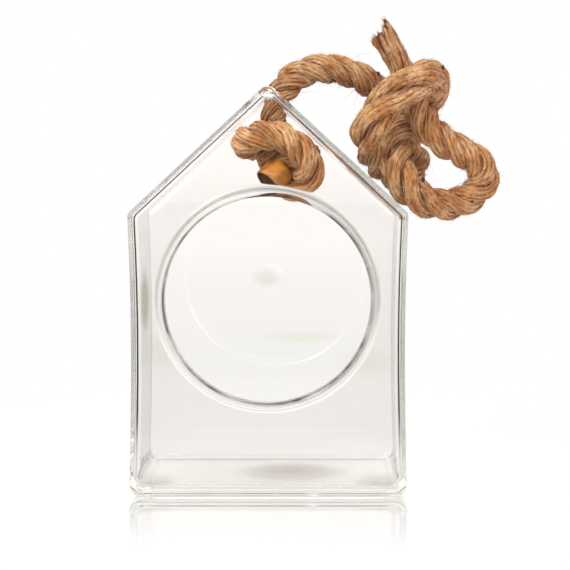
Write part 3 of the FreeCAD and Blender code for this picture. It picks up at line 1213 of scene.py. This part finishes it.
@dataclass
class Studio:
    """Floor, surroundings, lamps and camera. Many light bounces keep black specks out of the glass."""

    image_side: int = 570
    focal_pixels: float = 1359.0
    place: Place = (0.0191, -0.7109, 0.1637)
    shift: tuple[float, float] = (-0.0373, -0.0979)
    tilt_degrees: float = 2.5
    sensor_mm: float = 36.0
    aim: Place = (0.02, 0.0, 0.14)
    bounces: int = 32
    floor_side: float = 12.0
    floor_gap: float = 0.1 * MM

    def camera(self) -> Piece:
        """Place the camera as in the photograph, part of its downward look by tilt and part by shift.

        Returns:
            The camera.
        """
        lens = bpy.data.cameras.new("studio_camera")
        lens.sensor_width = self.sensor_mm
        lens.lens = self.sensor_mm * self.focal_pixels / self.image_side
        lens.shift_x, lens.shift_y = self.shift
        camera = bpy.data.objects.new("studio_camera", lens)
        camera.location = self.place
        camera.rotation_euler = (math.radians(90 - self.tilt_degrees), 0.0, 0.0)
        bpy.context.scene.collection.objects.link(camera)
        bpy.context.scene.camera = camera
        return camera

    def lamp(self, name: str, place: Place, watts: float, side: float) -> Piece:
        """Hang a square soft lamp that faces the vase.

        Args:
            name: name of the lamp.
            place: where it hangs.
            watts: its power.
            side: its width and height.

        Returns:
            The lamp.
        """
        light = bpy.data.lights.new(name, "AREA")
        light.energy = watts
        light.size = side
        lamp = bpy.data.objects.new(name, light)
        lamp.location = place
        lamp.rotation_euler = (Vector(self.aim) - Vector(place)).to_track_quat("-Z", "Y").to_euler()
        bpy.context.scene.collection.objects.link(lamp)
        return lamp

    def surroundings(self) -> None:
        """Make the world bright behind the vase and dim in front of it, as round a photographer's table.

        The camera sees white. Rays that the glass has mirrored see the dim side and draw the dark lines
        of its edges. Rays that went straight through see it faintly, so the panes stay clear.
        """
        world = bpy.data.worlds.new("bright_backdrop")
        bpy.context.scene.world = world
        world.use_nodes = True
        world.node_tree.nodes.clear()
        node = functools.partial(add_node, world.node_tree)
        look = node("TexCoord", output="Generated")
        parts = node("SeparateXYZ", [look]).node.outputs
        front = node("MapRange", [parts[1], 0.3, 0.75, 1.0, 0.0], **SOFT)
        path = node("LightPath").node.outputs
        # Mirrored rays see the dim side if they also passed through glass, or look low along the table.
        mirrored = mirrored_share(node, path["Glossy Depth"], many=3.0, least=0.1)
        passed = node("Math:MINIMUM", [path["Transmission Depth"], 1.0])
        low = node("MapRange", [parts[2], 0.08, 0.16, 1.0, 0.0])
        inside = node("Math:MAXIMUM", [passed, low])
        turned = node("Math:MULTIPLY", [mirrored, inside])
        faint = node("Math:MULTIPLY", [passed, 0.15])
        share = node("Math:MAXIMUM", [turned, faint])
        dim = node("Math:MULTIPLY", [front, share])
        # Warm near the table's edge, brighter above it, so that the panes have the photograph's tone.
        height = node("MapRange", [parts[2], -0.05, 0.006])
        bright = node("Mix", {0: height, 6: (1.08, 1.045, 1.02, 1), 7: (1.22, 1.18, 1.155, 1)}, **MIXED)
        room = node("Mix", {0: dim, 6: bright, 7: (0.03, 0.03, 0.028, 1)}, **MIXED)
        seen = node("Math:MAXIMUM", [path["Is Glossy Ray"], path["Is Transmission Ray"]])
        rest = node("Mix", {0: seen, 6: (0.5, 0.5, 0.51, 1), 7: room}, **MIXED)
        colour = node("Mix", {0: path["Is Camera Ray"], 6: rest, 7: WHITE}, **MIXED)
        light = node("Background", {"Color": colour})
        node("OutputWorld", {"Surface": light})

    def floor(self) -> Piece:
        """Lay a white acrylic floor that keeps the shadow and a short reflection.

        Returns:
            The floor.
        """
        bpy.ops.mesh.primitive_plane_add(size=self.floor_side, location=(0.0, 0.0, -self.floor_gap))
        floor = bpy.context.active_object
        floor.name = "studio_floor"
        material, node = new_material("white_acrylic_sheet")
        where = node("TexCoord", output="Object")
        parts = node("SeparateXYZ", [where]).node.outputs
        flat = node("VectorMath:MULTIPLY", [where, (1, 1, 0)])
        reach = node("VectorMath:LENGTH", [flat], "Value")
        # Polished near the vase, white further off.
        near = node("MapRange", [reach, 0.14, 0.34, 1.0, 0.0], **SOFT)
        path = node("LightPath").node.outputs
        # What the camera sees near the vase: white acrylic, lit from below, that mirrors in a short strip.
        diffuse = node("BsdfDiffuse", {"Color": (0.86, 0.86, 0.86, 1)})
        white = node("Emission")
        lit = node("MapRange", {0: path["Transmission Depth"], 3: 1.0, 4: 0.78})
        glow = node("Emission", {"Strength": lit})
        body = node("MixShader", [0.62, diffuse, glow])
        gloss = node("BsdfGlossy", {"Color": (0.91, 0.91, 0.895, 1), "Roughness": 0.06})
        grazing = node("LayerWeight", output="Facing")
        shine = node("MapRange", [grazing, 0.45, 0.7])
        strip = node("MapRange", {0: parts[1], 1: -0.145, 2: -0.05, 4: 0.66})
        past = node("MapRange", [parts[1], -0.035, -0.01, 1.0, 0.36])
        front = node("Math:MULTIPLY", [strip, past])
        fade = node("Math:MULTIPLY", [front, shine])
        polished = node("MixShader", [fade, body, gloss])
        # Further off it is white. Mirrored rays see the side in front of the vase dim, as in the world.
        behind = node("Math:DIVIDE", [parts[1], reach])
        ahead = node("MapRange", [behind, 0.35, 0.75, 0.05, 1.0], **SOFT)
        mirrored = mirrored_share(node, path["Glossy Depth"], many=6.0, least=0.5)
        share = node("Math:MAXIMUM", [mirrored, 0.15])
        strength = node("Mix", {0: share, 2: 1.0, 3: ahead})
        distance = node("MapRange", {0: reach, 1: 0.5, 2: 2.2, 4: 0.7})
        haze = node("Mix", {0: distance, 6: (0.985, 0.975, 0.95, 1), 7: (1.13, 1.09, 1.065, 1)}, **MIXED)
        dimmed = node("Emission", {"Color": haze, "Strength": strength})
        far = node("MixShader", [path["Is Camera Ray"], dimmed, white])
        local = node("MixShader", [near, far, polished])
        seen = node("Math:MAXIMUM", [path["Is Camera Ray"], path["Is Glossy Ray"]])
        both = node("Math:MAXIMUM", [seen, path["Is Transmission Ray"]])
        surface = node("MixShader", [both, diffuse, local])
        node("OutputMaterial", {"Surface": surface})
        dress(floor, material)
        return floor

    def build(self) -> None:
        """Set the whole studio up."""
        self.camera()
        self.surroundings()
        self.floor()
        self.lamp("key_softbox", (-0.75, -1.0, 1.25), 17.0, 0.9)
        self.lamp("fill_softbox", (1.2, -0.7, 0.8), 6.0, 0.9)
        self.lamp("top_softbox", (0.1, 0.5, 1.5), 8.0, 1.0).visible_glossy = False
        bpy.context.scene.view_settings.view_transform = "Standard"
        paths = bpy.context.scene.cycles
        paths.max_bounces = paths.transmission_bounces = paths.glossy_bounces = self.bounces


def main() -> None:
    """Build every piece, light the scene and report each piece."""
    logging.basicConfig(level=logging.INFO, format="%(name)s: %(message)s")
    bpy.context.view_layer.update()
    bpy.ops.object.select_all(action="DESELECT")
    Studio().build()
    rope = Rope()
    for piece in (*rope.hanger(), *rope.stopper(), GlassHouse().build()):
        log.info("%s: %d vertices", piece.name, len(piece.data.vertices))
    bpy.context.view_layer.update()


if __name__ == "__main__":
    main()
